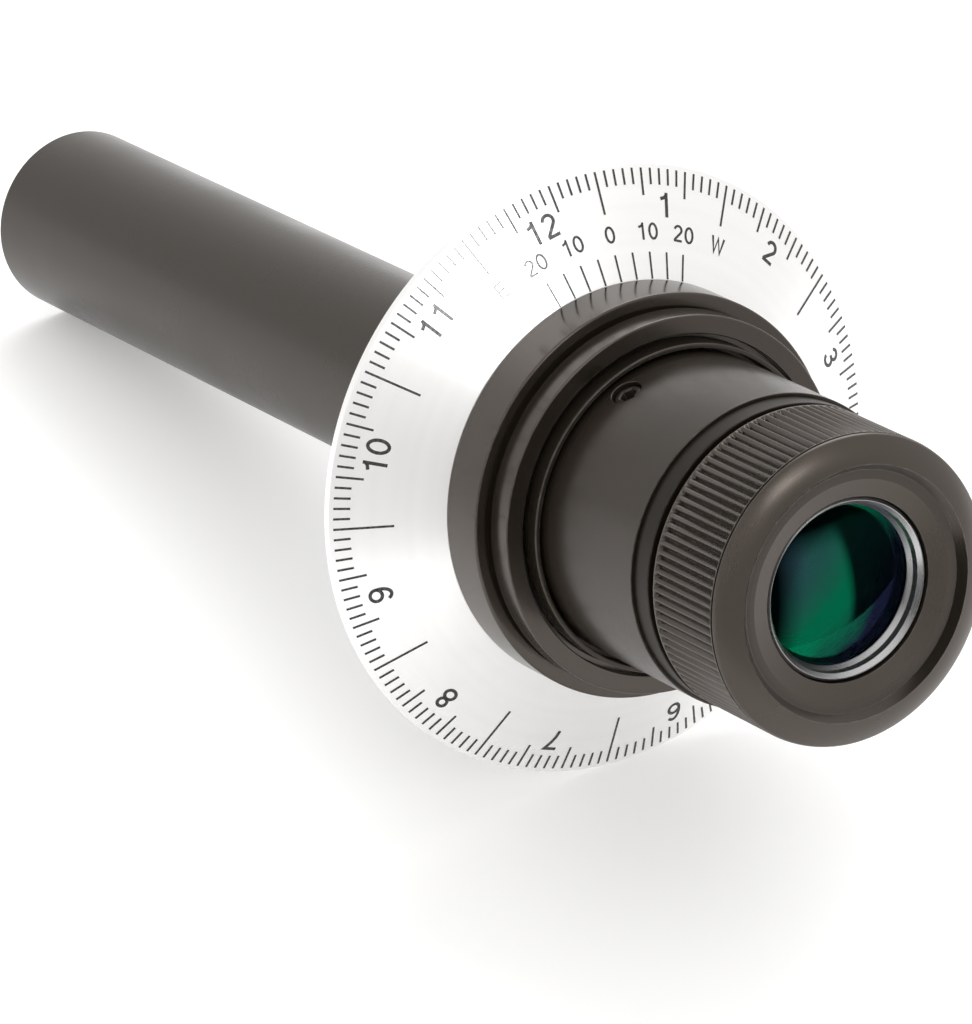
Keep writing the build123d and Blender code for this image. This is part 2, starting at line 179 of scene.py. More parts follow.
def turned_metal(name, shade, roughness, stretch, turning, warmth=0.0):
    """Bare or clear anodised metal cut on a lathe, with a sheen that runs across the turning marks."""
    s = Shader(name)
    place = s.place()
    across = s.turned_place()
    marks = s.noise(across, 6500, 5.0, 0.75)
    broad = s.noise(across, 700, 2.0)
    handling = s.noise(place, 130, 4.0)
    height = s.math("ADD", s.math("MULTIPLY", marks, turning), s.math("MULTIPLY", s.noise(place, 9000), 0.15))
    bump = s.bump(height, 0.008, 0.35)
    tangent = s.add("Tangent", direction_type="RADIAL", axis="Y")
    tone = s.blend(broad, grey(shade * 0.95, warmth), grey(shade * 1.03, warmth))
    dulled = s.product(s.between(handling, 0.55, 0.8), 0.12)
    colour = s.blend(dulled, tone, grey(shade * 0.8, warmth + 0.02))
    rough = s.math("ADD", s.between(handling, 0.3, 0.7, roughness - 0.03, roughness + 0.04),
                   s.math("MULTIPLY", marks, 0.08))
    return s.finish(s.add("BsdfPrincipled", {
        "Base Color": colour, "Metallic": 1.0, "Roughness": rough, "Anisotropic": stretch,
        "Anisotropic Rotation": 0.25, "Tangent": tangent, "Normal": bump}))


def coated_glass(name, least, most):
    """Lens glass with a coating that shines green, and purple at a glancing angle.

    least and most are the coating's share of the light when seen head on and at a glancing angle.
    """
    s = Shader(name)
    place = s.place()
    film = s.noise(place, 260, 3.0)
    incoming = s.add("NewGeometry", out="Incoming")
    normal = s.add("NewGeometry", out="Normal")
    facing = s.add("VectorMath", {0: incoming, 1: normal}, "Value", operation="DOT_PRODUCT")
    glance = s.math("SUBTRACT", 1.0, s.math("ABSOLUTE", facing))
    glance = s.math("ADD", glance, s.between(film, 0.3, 0.7, -0.02, 0.02))
    blue, green, purple = (0.14, 0.34, 0.44, 1.0), (0.004, 0.80, 0.36, 1.0), (0.035, 0.035, 0.12, 1.0)
    tint = s.blend(s.between(glance, 0.08, 0.20), blue, green)
    tint = s.blend(s.between(glance, 0.25, 0.36), tint, purple)
    dust = s.between(s.noise(place, 5200, 2.0), 0.70, 0.78)
    rough = s.between(dust, 0.0, 1.0, 0.015, 0.10)
    through = s.add("BsdfRefraction", {"Color": (0.72, 0.82, 0.92, 1.0), "Roughness": 0.0, "IOR": 1.5})
    shine = s.add("BsdfGlossy", {"Color": tint, "Roughness": rough}, distribution="GGX")
    inside = s.add("NewGeometry", out="Backfacing")
    share = s.product(s.between(glance, 0.0, 1.0, least, most), s.between(inside, 0.0, 1.0, 1.0, 0.1))
    return s.finish(s.add("MixShader", {0: share, 1: through, 2: shine}))


def printed(name):
    """Printed black ink, a little thin in places."""
    s = Shader(name)
    place = s.place()
    thin = s.between(s.noise(place, 3500, 3.0), 0.35, 0.75)
    colour = s.blend(thin, grey(0.018), grey(0.055, 0.03))
    bump = s.bump(s.noise(place, 14000), 0.004, 0.3)
    return s.finish(s.add("BsdfPrincipled", {
        "Base Color": colour, "Roughness": s.between(thin, 0.0, 1.0, 0.22, 0.34), "Normal": bump}))


def pressed_fibre(name):
    """Matte brown washer board with short strands."""
    s = Shader(name)
    place = s.place()
    strands = s.noise(place, 4200, 6.0, 0.8)
    colour = s.blend(strands, (0.10, 0.07, 0.05, 1.0), (0.24, 0.18, 0.12, 1.0))
    bump = s.bump(strands, 0.03, 0.6)
    return s.finish(s.add("BsdfPrincipled", {"Base Color": colour, "Roughness": 0.85, "Normal": bump}))


LOOKS = {
    "black_anodised": anodised("black_anodised", 0.012, 0.25, turning=0.32, edge_wear_and_highlight=0.4, shine=0.45),
    "gloss_black_anodised": anodised("gloss_black_anodised", 0.009, 0.15, turning=0.2, edge_wear_and_highlight=0.6, shine=0.9),
    "black_screw": anodised("black_screw", 0.012, 0.30, turning=0.3, edge_wear_and_highlight=0.5),
    "turned_silver": turned_metal("turned_silver", 0.97, 0.30, stretch=0.85, turning=0.8, warmth=0.008),
    "bare_metal": turned_metal("bare_metal", 0.64, 0.24, stretch=0.6, turning=0.6),
    "spring_steel": turned_metal("spring_steel", 0.55, 0.3, stretch=0.5, turning=0.7),
    "brass": turned_metal("brass", 0.62, 0.3, stretch=0.5, turning=0.7, warmth=0.28),
    "lens_glass": coated_glass("lens_glass", least=0.02, most=0.08),
    "fibre": pressed_fibre("fibre"),
}
INK = printed("scale_ink")

# Pieces whose finish differs a little from the rest of their slot in the photo. The nose ring's darker,
# duller black is painted shade.
EYE_COATING = coated_glass("eye_coating", least=0.12, most=0.22)
RING_BLACK = anodised("ring_black", 0.012, 0.24, turning=0.3, edge_wear_and_highlight=0.45, shine=0.84)
BARREL_BLACK = anodised("barrel_black", 0.011, 0.19, turning=0.2, edge_wear_and_highlight=0.4)
# The mounting body has the strongest edge grey: partly worn metal, partly a painted highlight on the edge of
# its lip.
BODY_BLACK = anodised("body_black", 0.012, 0.24, turning=0.3, edge_wear_and_highlight=0.95)
# Painted shade: the nose ring is darker and duller than the barrel, standing in for the shadow in the groove
# between barrel and knurl.
NOSE_PAINTED_SHADE = anodised("nose_painted_shade", 0.008, 0.35, turning=0.4, edge_wear_and_highlight=0.4, shine=0.22)

for node, cad_object in frame["nodes"].items():
    cad_object.data.materials.clear()
    cad_object.data.materials.append(LOOKS[SLOT_OF[node]])


# ---------------------------------------------------------------- turned surfaces

def rounded(corners, closed=True, steps=4, lead=0.05):
    """An outline with its corners rounded. A corner is (radius, y) or (radius, y, size).

    Size 0 keeps the point. lead is how far beyond the rounding a point holds the straight side flat.
    """
    points = []
    count = len(corners)
    for i, corner in enumerate(corners):
        here = Vector(corner[:2])
        size = corner[2] if len(corner) > 2 else CORNER
        at_end = not closed and i in (0, count - 1)
        if size == 0 or at_end:
            points.append(here)
            continue
        back = Vector(corners[i - 1][:2]) - here
        ahead = Vector(corners[(i + 1) % count][:2]) - here
        turn = back.angle(ahead)
        cut = min(size / math.tan(turn / 2), 0.4 * back.length, 0.4 * ahead.length)
        start = here + back.normalized() * cut
        end = here + ahead.normalized() * cut
        if back.length > 2.5 * (cut + lead):
            points.append(here + back.normalized() * (cut + lead))
        for k in range(steps + 1):
            t = k / steps
            points.append(start * (1 - t) ** 2 + here * 2 * t * (1 - t) + end * t ** 2)
        if ahead.length > 2.5 * (cut + lead):
            points.append(here + ahead.normalized() * (cut + lead))
    return [(p.x, p.y) for p in points]


def arc_through(start, middle, end, steps):
    """Points with size 0 along the circle through three points, ends included."""
    (ax, ay), (bx, by), (cx, cy) = start, middle, end
    d = 2 * (ax * (by - cy) + bx * (cy - ay) + cx * (ay - by))
    ux = ((ax**2 + ay**2) * (by - cy) + (bx**2 + by**2) * (cy - ay) + (cx**2 + cy**2) * (ay - by)) / d
    uy = ((ax**2 + ay**2) * (cx - bx) + (bx**2 + by**2) * (ax - cx) + (cx**2 + cy**2) * (bx - ax)) / d
    radius = math.hypot(ax - ux, ay - uy)
    first = math.atan2(ay - uy, ax - ux)
    sweep = (math.atan2(cy - uy, cx - ux) - first + math.pi) % TURN - math.pi
    angles = [first + sweep * k / steps for k in range(steps + 1)]
    return [(ux + radius * math.cos(a), uy + radius * math.sin(a), 0) for a in angles]


def dome(vertex_y, curve, rim_r, towards, steps=24):
    """A lens surface from its vertex out to its rim. towards is 1 if it falls back along +Y."""
    radii = [rim_r * k / steps for k in range(steps + 1)]
    return [(r, vertex_y + towards * (curve - math.sqrt(curve**2 - r**2)), 0) for r in radii]


def stations(radius, start, end, step):
    """Points with size 0 along a straight cylinder."""
    count = max(1, round(abs(end - start) / step))
    return [(radius, start + (end - start) * k / count, 0) for k in range(count + 1)]


def at(angle, radius, y):
    """A point at an angle in radians."""
    return (radius * math.sin(angle), y, radius * math.cos(angle))


def turned(outline, segments=256, shape=None):
    """Vertices and faces of an outline turned about Y. shape(angle, radius, y) may change a radius."""
    points = list(outline)
    on_axis = points[0][0] == 0 or points[-1][0] == 0
    area = sum(a[0] * b[1] - b[0] * a[1] for a, b in zip(points, points[1:] + points[:1]))
    if area < 0:
        points.reverse()
    vertices, rows = [], []
    for r, y in points:
        if r == 0:
            rows.append([len(vertices)] * segments)
            vertices.append((0, y, 0))
            continue
        rows.append(list(range(len(vertices), len(vertices) + segments)))
        for j in range(segments):
            angle = TURN * j / segments
            vertices.append(at(angle, shape(angle, r, y) if shape else r, y))
    faces = []
    pairs = list(zip(rows, rows[1:]))
    if not on_axis:
        pairs.append((rows[-1], rows[0]))
    for low, high in pairs:
        for j in range(segments):
            k = (j + 1) % segments
            corners = (low[j], low[k], high[k], high[j])
            face = tuple(dict.fromkeys(corners))
            if len(face) > 2:
                faces.append(face)
    return vertices, faces


def make_piece(name, vertices, faces, material, body):
    """A piece in millimetre coordinates that rides on a body."""
    mesh = bpy.data.meshes.new(name)
    mesh.from_pydata([Vector(v) * MM for v in vertices], [], faces)
    mesh.polygons.foreach_set("use_smooth", [True] * len(mesh.polygons))
    mesh.set_sharp_from_angle(angle=SMOOTH_BELOW)
    mesh.materials.append(material)
    piece = bpy.data.objects.new(name, mesh)
    bpy.context.scene.collection.objects.link(piece)
    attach(piece, body)
    return piece


def stand_for(node, vertices, faces, look=None):
    """Shows this surface in place of a CAD node, in the same slot and on the same body."""
    piece = make_piece(node + "_surface", vertices, faces, look or LOOKS[SLOT_OF[node]], BODY_OF[node])
    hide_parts(node)
    return piece


def weld(piece, reach=0.0005):
    """Joins points that lie on top of each other, and turns every face outward."""
    work = bmesh.new()
    work.from_mesh(piece.data)
    bmesh.ops.remove_doubles(work, verts=work.verts, dist=reach * MM)
    bmesh.ops.recalc_face_normals(work, faces=work.faces)
    work.to_mesh(piece.data)
    work.free()
    piece.data.set_sharp_from_angle(angle=SMOOTH_BELOW)


def thread(major_r, low, high, pitch, depth):
    """A right-hand thread cut into a cylinder, fading out at both ends."""
    def shape(angle, r, y):
        if abs(r - major_r) > 1e-6 or not low < y < high:
            return r
        fade = min(1.0, (y - low) / pitch, (high - y) / pitch)
        phase = (y / pitch - angle / TURN) % 1.0
        flank = min(1.0, max(0.0, 1.25 - 2.7 * abs(phase - 0.5)))
        return r - depth * fade * flank
    return shape


# ---------------------------------------------------------------- telescope end

tube_r, tube_back, tube_end = span("main_tube")
TUBE_WALL = 0.9
TUBE_CHAMFER = 0.3
tube_bore_r = tube_r - TUBE_WALL
stand_for("main_tube", *turned(rounded([
    (tube_bore_r, tube_back),
    (tube_r, tube_back),
    (tube_r, tube_end, 0.18),
    (tube_bore_r + TUBE_CHAMFER, tube_end, 0.05),
    (tube_bore_r, tube_end - TUBE_CHAMFER, 0.05),
])))

cell_r, cell_back, cell_front = span("objective_cell")
lens_r, crown_back, crown_vertex = span("objective_crown_lens")
lens_seat = span("objective_flint_lens")[1]
LENS_GAP = 0.05
SEAT_WIDTH = 0.55
CELL_CHAMFER = 0.3
stand_for("objective_cell", *turned(rounded([
    (lens_r - SEAT_WIDTH, cell_back),
    (cell_r, cell_back),
    (cell_r, cell_front),
    (lens_r + LENS_GAP + CELL_CHAMFER, cell_front, 0.08),
    (lens_r + LENS_GAP, cell_front - CELL_CHAMFER),
    (lens_r + LENS_GAP, lens_seat),
    (lens_r - SEAT_WIDTH, lens_seat),
])))

CROWN_CURVE = 40.0
CEMENTED_CURVE = 30.0
stand_for("objective_crown_lens", *turned([p[:2] for p in (
    dome(crown_back, CEMENTED_CURVE, lens_r, 1)
    + dome(crown_vertex, CROWN_CURVE, lens_r, -1)[::-1]
)], 128))

ring_r, ring_back, ring_front = span("objective_retaining_ring")
ring_bore_r = lens_r - 0.65
stand_for("objective_retaining_ring", *turned(rounded([
    (ring_bore_r, ring_back, 0.1),
    (ring_r, ring_back, 0.1),
    (ring_r, ring_front, 0.1),
    (ring_bore_r, ring_front, 0.1),
]), 192))


# ---------------------------------------------------------------- mounting body

flange_r, lip_face, boss_end = span("mount_body")
dial_r, cone_top, dial_back = span("date_circle")
barrel_r, barrel_face, neck_end = span("eyepiece_barrel")
THREAD_R = 14.0
THREAD_LENGTH = 9.0
THREAD_PITCH = 1.0
THREAD_DEPTH = 0.54
THREAD_CHAMFER = 0.5
RELIEF_END = 0.5
relief_r = THREAD_R - 0.55
BOSS_R = 12.5
JOURNAL_R = 16.6
WELL_R = 16.1
WASHER_ROOM = 0.5
flange_face = dial_back + WASHER_ROOM
well_floor = lip_face + 2.5
neck_r = barrel_r - 2.32

thread_start = RELIEF_END + 0.1
thread_end = THREAD_LENGTH - THREAD_CHAMFER
mount_outline = rounded([
    (tube_r, boss_end),
    (BOSS_R, boss_end, 0.35),
    (BOSS_R, THREAD_LENGTH, 0.1),
    (THREAD_R - THREAD_CHAMFER, THREAD_LENGTH, 0.05),
    *stations(THREAD_R, thread_end, thread_start, 0.1),
    (relief_r, RELIEF_END, 0.05),
    (relief_r, 0, 0.05),
    (flange_r, 0, 0.25),
    (flange_r, flange_face, 0.15),
    (JOURNAL_R, flange_face, 0.05),
    (JOURNAL_R, lip_face, 0.2),
    (WELL_R, lip_face, 0.1),
    (WELL_R, well_floor, 0.05),
    (neck_r, well_floor, 0.05),
    (neck_r, neck_end, 0.05),
    (tube_bore_r, neck_end, 0.05),
    (tube_bore_r, tube_back, 0.05),
    (tube_r, tube_back, 0.05),
])
mount_thread = thread(THREAD_R, thread_start, thread_end, THREAD_PITCH, THREAD_DEPTH)
stand_for("mount_body", *turned(mount_outline, shape=mount_thread), look=BODY_BLACK)


# ---------------------------------------------------------------- date circle

collar_r, collar_face, collar_back = span("dial_collar")
cone_r = dial_r - 0.3
dial_front = dial_back - 1.0
steepness = (dial_front - cone_top) / (cone_r - collar_r)
slant = math.hypot(1.0, steepness)
slope = math.atan(steepness)


def cone_y(radius):
    """The cone's height at a radius."""
    return dial_front - steepness * (cone_r - radius)


dial_bore_r = JOURNAL_R + 0.05
HOLLOW_INNER_R = 23.2
HOLLOW_OUTER_R = 28.9
DIAL_WALL = 1.4
stand_for("date_circle", *turned(rounded([
    (dial_bore_r, dial_back),
    (HOLLOW_INNER_R, dial_back),
    (HOLLOW_INNER_R, cone_y(HOLLOW_INNER_R) + DIAL_WALL, 0.2),
    (HOLLOW_OUTER_R, cone_y(HOLLOW_OUTER_R) + DIAL_WALL, 0.2),
    (HOLLOW_OUTER_R, dial_back),
    (dial_r, dial_back, 0.1),
    (dial_r, dial_front + 0.15, 0.08),
    (cone_r, dial_front, 0.12),
    (collar_r, cone_top, 0.05),
    (dial_bore_r, cone_top),
]), 360))

# The scales are thin ribbons of ink that lie on the cone.
INK_LIFT = 0.025


class Ribbons:
    """Collects ribbons drawn in flat (across, outward) coordinates and laid on the cone."""

    def __init__(self):
        self.vertices = []
        self.faces = []

    def point(self, angle, radius, across, outward, lift):
        """A flat point laid on the cone at an angle and radius, then lifted off the metal."""
        a = math.radians(angle)
        reach = radius + outward / slant
        x = reach * math.sin(a) + across * math.cos(a)
        z = reach * math.cos(a) - across * math.sin(a)
        true_r = math.hypot(x, z)
        push = lift * math.sin(slope) / true_r
        return (x * (1 + push), cone_y(true_r) - lift * math.cos(slope), z * (1 + push))

    def draw(self, angle, radius, path, width, loop=False):
        """Adds a ribbon that follows a path, closed if it's a loop."""
        points = [Vector(p) for p in path]
        count = len(points)
        first = len(self.vertices)
        for i, p in enumerate(points):
            before = points[i - 1] if i or loop else p
            after = points[(i + 1) % count] if i < count - 1 or loop else p
            side = Vector((0.0, 0.0))
            for a, b in ((before, p), (p, after)):
                if (b - a).length > 1e-9:
                    along = (b - a).normalized()
                    side += Vector((-along.y, along.x))
            side.normalize()
            along = (after - p) if (after - p).length > 1e-9 else (p - before)
            square = max(0.5, abs(side.dot(Vector((-along.y, along.x)).normalized())))
            side *= width / 2 / square
            for edge in (p + side, p - side):
                for lift in (INK_LIFT, -INK_LIFT):
                    self.vertices.append(self.point(angle, radius, edge.x, edge.y, lift))
        for i in range(count if loop else count - 1):
            a = first + 4 * i
            b = first + 4 * ((i + 1) % count)
            for u, v in ((0, 2), (2, 3), (3, 1), (1, 0)):
                self.faces.append((a + u, a + v, b + v, b + u))
        if not loop:
            last = first + 4 * (count - 1)
            self.faces.append((first, first + 1, first + 3, first + 2))
            self.faces.append((last, last + 2, last + 3, last + 1))


def bow(cx, cy, rx, ry, start, end, steps=14):
    """Points along an oval arc, in degrees counter-clockwise from +x."""
    angles = [math.radians(start + (end - start) * k / steps) for k in range(steps + 1)]
    return [(cx + rx * math.cos(a), cy + ry * math.sin(a)) for a in angles]


def oval(cx, cy, rx, ry):
    return bow(cx, cy, rx, ry, 0, 345, 23)


# Each character's width and strokes in a box one unit high. A stroke is (points, is it a closed loop).
GLYPHS = {
    "0": (0.66, [(oval(0.33, 0.5, 0.255, 0.435), True)]),
    "1": (0.66, [([(0.42, 0.0), (0.42, 1.0)], False), ([(0.42, 0.90), (0.33, 0.80), (0.14, 0.74)], False)]),
    "2": (0.66, [(bow(0.33, 0.70, 0.24, 0.235, 170, -38) + [(0.12, 0.14), (0.09, 0.065)], False),
                 ([(0.05, 0.065), (0.60, 0.065)], False)]),
    "3": (0.66, [(bow(0.32, 0.725, 0.21, 0.21, 165, -80) + [(0.24, 0.52)], False),
                 (bow(0.32, 0.295, 0.245, 0.23, 82, -165), False)]),
    "4": (0.66, [([(0.44, 0.0), (0.44, 0.97), (0.06, 0.31), (0.63, 0.31)], False)]),
    "5": (0.66, [([(0.57, 0.935), (0.18, 0.935), (0.12, 0.50)]
                  + bow(0.32, 0.32, 0.25, 0.255, 125, -160), False)]),
    "6": (0.66, [(oval(0.33, 0.31, 0.25, 0.245), True), (bow(0.37, 0.42, 0.29, 0.515, 190, 45), False)]),
    "7": (0.66, [([(0.05, 0.935), (0.60, 0.935), (0.42, 0.62), (0.31, 0.32), (0.27, 0.0)], False)]),
    "8": (0.66, [(oval(0.33, 0.735, 0.20, 0.20), True), (oval(0.33, 0.285, 0.25, 0.225), True)]),
    "9": (0.66, [(oval(0.33, 0.69, 0.25, 0.245), True), (bow(0.29, 0.58, 0.29, 0.515, 10, -135), False)]),
    "E": (0.68, [([(0.08, 0.0), (0.08, 1.0)], False), ([(0.08, 0.065), (0.62, 0.065)], False),
                 ([(0.08, 0.52), (0.57, 0.52)], False), ([(0.08, 0.935), (0.60, 0.935)], False)]),
    "W": (0.96, [([(0.04, 1.0), (0.26, 0.04), (0.48, 0.92), (0.70, 0.04), (0.92, 1.0)], False)]),
}
LETTER_GAP = 0.13
STROKE = 0.14


def write(ribbons, text, angle, radius, height):
    """A label centred at an angle and radius, with its top outward."""
    widths = [GLYPHS[c][0] for c in text]
    total = sum(widths) + LETTER_GAP * (len(text) - 1)
    start = -total / 2
    for c, advance in zip(text, widths):
        for path, loop in GLYPHS[c][1]:
            placed = [((start + x) * height, (y - 0.5) * height) for x, y in path]
            ribbons.draw(angle, radius, placed, STROKE * height, loop)
        start += advance + LETTER_GAP


def tick(ribbons, angle, inner_r, outer_r, width):
    """A straight mark from one radius to another."""
    middle = (inner_r + outer_r) / 2
    reach = (outer_r - inner_r) / 2 * slant
    ribbons.draw(angle, middle, [(0, -reach), (0, reach)], width)


ZERO = 5.5  # where the scale's zero stands at rest
DAY_STEP = 2
MONTH = 30
MONTH_TICK_R = 25.2
SHORT_MONTH_TICK_R = 26.7
TEN_DAY_TICK_R = 28.1
DAY_TICK_R = 29.1
TICK_WIDTH = 0.23
MONTH_LABEL_R = 27.3
MONTH_LABEL_HEIGHT = 2.45
MERIDIAN_TICK_R = 23.0
MERIDIAN_TICK_WIDTH = 0.20
MERIDIAN_LABEL_R = 24.85
MERIDIAN_LABEL_HEIGHT = 1.7
tick_outer_r = dial_r - 0.4


def date_tick_r(step):
    """How far in a tick of the date scale reaches. The month ticks beside E, 0 and W are shorter."""
    if step % MONTH == 0:
        return SHORT_MONTH_TICK_R if step in (0, MONTH, 360 - MONTH) else MONTH_TICK_R
    return TEN_DAY_TICK_R if step % MONTH in (10, 20) else DAY_TICK_R


scale = Ribbons()
for step in range(0, 360, DAY_STEP):
    tick(scale, ZERO + step, date_tick_r(step), tick_outer_r, TICK_WIDTH)
for month in range(12):
    write(scale, str(month + 1), ZERO + MONTH * (month + 0.5), MONTH_LABEL_R, MONTH_LABEL_HEIGHT)
for mark in range(-20, 21, 5):
    tick(scale, ZERO + mark, collar_r + 0.05, MERIDIAN_TICK_R, MERIDIAN_TICK_WIDTH)
for place_in_row, label in enumerate(("E", "20", "10", "0", "10", "20", "W")):
    write(scale, label, ZERO + 10 * (place_in_row - 3), MERIDIAN_LABEL_R, MERIDIAN_LABEL_HEIGHT)
make_piece("date_scale", scale.vertices, scale.faces, INK, "date_circle")


# ---------------------------------------------------------------- collar and nut

collar_bore_r = JOURNAL_R + 0.02
WASHER_RECESS_R = 18.4
washer_recess_y = collar_back - 0.5
stand_for("dial_collar", *turned(rounded([
    (collar_bore_r, collar_face),
    (collar_r, collar_face, 0.22),
    (collar_r, collar_back, 0.1),
    (WASHER_RECESS_R, collar_back),
    (WASHER_RECESS_R, washer_recess_y),
    (collar_bore_r, washer_recess_y),
]), 320))

nut_r, nut_face, nut_back = span("collar_nut")
GROOVE_WIDTH = 0.6
groove_r = nut_r - 0.4
NUT_RECESS_R = 17.2
nut_recess_y = nut_face + 1.3
stand_for("collar_nut", *turned(rounded([
    (collar_bore_r, nut_back),
    (groove_r, nut_back),
    (groove_r, nut_back - GROOVE_WIDTH),
    (nut_r, nut_back - GROOVE_WIDTH, 0.1),
    (nut_r, nut_face, 0.18),
    (NUT_RECESS_R, nut_face, 0.12),
    (NUT_RECESS_R, nut_recess_y),
    (collar_bore_r, nut_recess_y),
]), 320))


# ---------------------------------------------------------------- eyepiece barrel with its three screw holes

SCREWS = ("reticle_screw_1", "reticle_screw_2", "reticle_screw_3")
BARREL_BORE_R = 12.6
NOSE_SOCKET_R = 13.8
HOLE_R = 1.55
HOLE_EDGE = 0.08
BARREL_COLUMNS = 240
WINDOW_COLUMNS = 6  # half a window's width
WINDOW_ROWS = 12
WINDOW_HALF = 2.45
nose_socket_end = barrel_face + 5.9
column_step = TURN / BARREL_COLUMNS


def middle_of(node):
    """The middle of a node's box, in millimetres."""
    low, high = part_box(node)
    return (low + high) / 2 / MM


screw_y = middle_of(SCREWS[0]).y
screw_angles = [math.atan2(middle_of(n).x, middle_of(n).z) for n in SCREWS]
window_low, window_high = screw_y - WINDOW_HALF, screw_y + WINDOW_HALF
window_rows = [window_low + (window_high - window_low) * k / WINDOW_ROWS for k in range(WINDOW_ROWS + 1)]


def barrel_mesh():
    """The barrel, with a square window left open at each screw and filled by rings round a drilled hole."""
    outline = rounded([
        (BARREL_BORE_R, neck_end, 0.1),
        (neck_r, neck_end, 0.1),
        (neck_r, well_floor, 0.05),
        (barrel_r, well_floor, 0.05),
        *[(barrel_r, y, 0) for y in reversed(window_rows)],
        (barrel_r, barrel_face, 0.1),
        (NOSE_SOCKET_R, barrel_face, 0.05),
        (NOSE_SOCKET_R, nose_socket_end, 0.05),
        (BARREL_BORE_R, nose_socket_end, 0.05),
        *[(BARREL_BORE_R, y, 0) for y in window_rows],
    ])
    outline.reverse()
    start = screw_angles[0]
    vertices = [at(start + column_step * j, r, y) for r, y in outline for j in range(BARREL_COLUMNS)]
    open_columns = {(round((a - start) / column_step) + c) % BARREL_COLUMNS
                    for a in screw_angles for c in range(-WINDOW_COLUMNS, WINDOW_COLUMNS)}
    faces = []
    for i, (r0, y0) in enumerate(outline):
        n = (i + 1) % len(outline)
        r1, y1 = outline[n]
        in_band = r0 == r1 and window_low - 1e-6 < min(y0, y1) and max(y0, y1) < window_high + 1e-6
        for j in range(BARREL_COLUMNS):
            if not (in_band and j in open_columns):
                k = (j + 1) % BARREL_COLUMNS
                faces.append((i * BARREL_COLUMNS + j, i * BARREL_COLUMNS + k,
                              n * BARREL_COLUMNS + k, n * BARREL_COLUMNS + j))
    for angle in screw_angles:
        drill(vertices, faces, angle)
    return vertices, faces


def drill(vertices, faces, angle):
    """Fills one window on the outer and inner walls and joins the two round edges by the hole's wall."""
    side = range(-WINDOW_COLUMNS, WINDOW_COLUMNS)
    square = [(c, window_low) for c in side]
    square += [(WINDOW_COLUMNS, y) for y in window_rows[:-1]]
    square += [(-c, window_high) for c in side]
    square += [(-WINDOW_COLUMNS, y) for y in reversed(window_rows[1:])]
    rings = []

    def add_ring(wall_r, share, radius):
        """A ring on a wall. Its share goes from 0 for the square window to 1 for a circle of this radius."""
        ring = []
        for c, y in square:
            edge_x, edge_y = c * column_step * barrel_r, y - screw_y
            direction = math.atan2(edge_y, edge_x)
            across = edge_x + (radius * math.cos(direction) - edge_x) * share
            along = edge_y + (radius * math.sin(direction) - edge_y) * share
            turn = across / barrel_r if share < 1 else math.asin(across / wall_r)
            ring.append(len(vertices))
            vertices.append(at(angle + turn, wall_r, screw_y + along))
        rings.append(ring)

    for share in (0, 0.35, 0.7):
        add_ring(barrel_r, share, HOLE_R + 1.5 * HOLE_EDGE)
    add_ring(barrel_r, 1, HOLE_R + 2 * HOLE_EDGE)
    add_ring(barrel_r, 1, HOLE_R + HOLE_EDGE)
    add_ring(barrel_r - 0.03, 1, HOLE_R + 0.03)
    for depth in (HOLE_EDGE, HOLE_EDGE + 0.06):
        add_ring(barrel_r - depth, 1, HOLE_R)
    for height in (0.05, 0):
        add_ring(BARREL_BORE_R + height, 1, HOLE_R)
    for share in (0.7, 0.35, 0):
        add_ring(BARREL_BORE_R, share, HOLE_R)
    for outer, inner in zip(rings, rings[1:]):
        for i in range(len(square)):
            k = (i + 1) % len(square)
            faces.append((outer[i], outer[k], inner[k], inner[i]))


weld(stand_for("eyepiece_barrel", *barrel_mesh(), look=BARREL_BLACK))

SCREW_R = 1.5
SCREW_PITCH = 0.5
SCREW_THREAD_DEPTH = 0.26
SCREW_COLUMNS = 72
SCREW_TIP = 11.82
SCREW_SUNK = 0.4
SOCKET_FLAT = 0.75  # half the width across flats
SOCKET_DEPTH = 1.3


def plain_row(radius, height):
    """A row of a screw, as a function from an angle to a radius and a height."""
    return lambda angle: (radius, height)


def socket_row(grow, height):
    """A row on the socket's hexagonal wall, grown outward."""
    def row(angle):
        from_flat = (angle + math.pi / 6) % (math.pi / 3) - math.pi / 6
        return (SOCKET_FLAT + grow) / math.cos(from_flat), height
    return row


def thread_row(fade, height):
    """A row on the screw's thread, which is full depth where fade is 1."""
    def row(angle):
        flank = abs(2 * ((height / SCREW_PITCH - angle / TURN) % 1.0) - 1)
        return SCREW_R - SCREW_THREAD_DEPTH * fade * flank, height
    return row


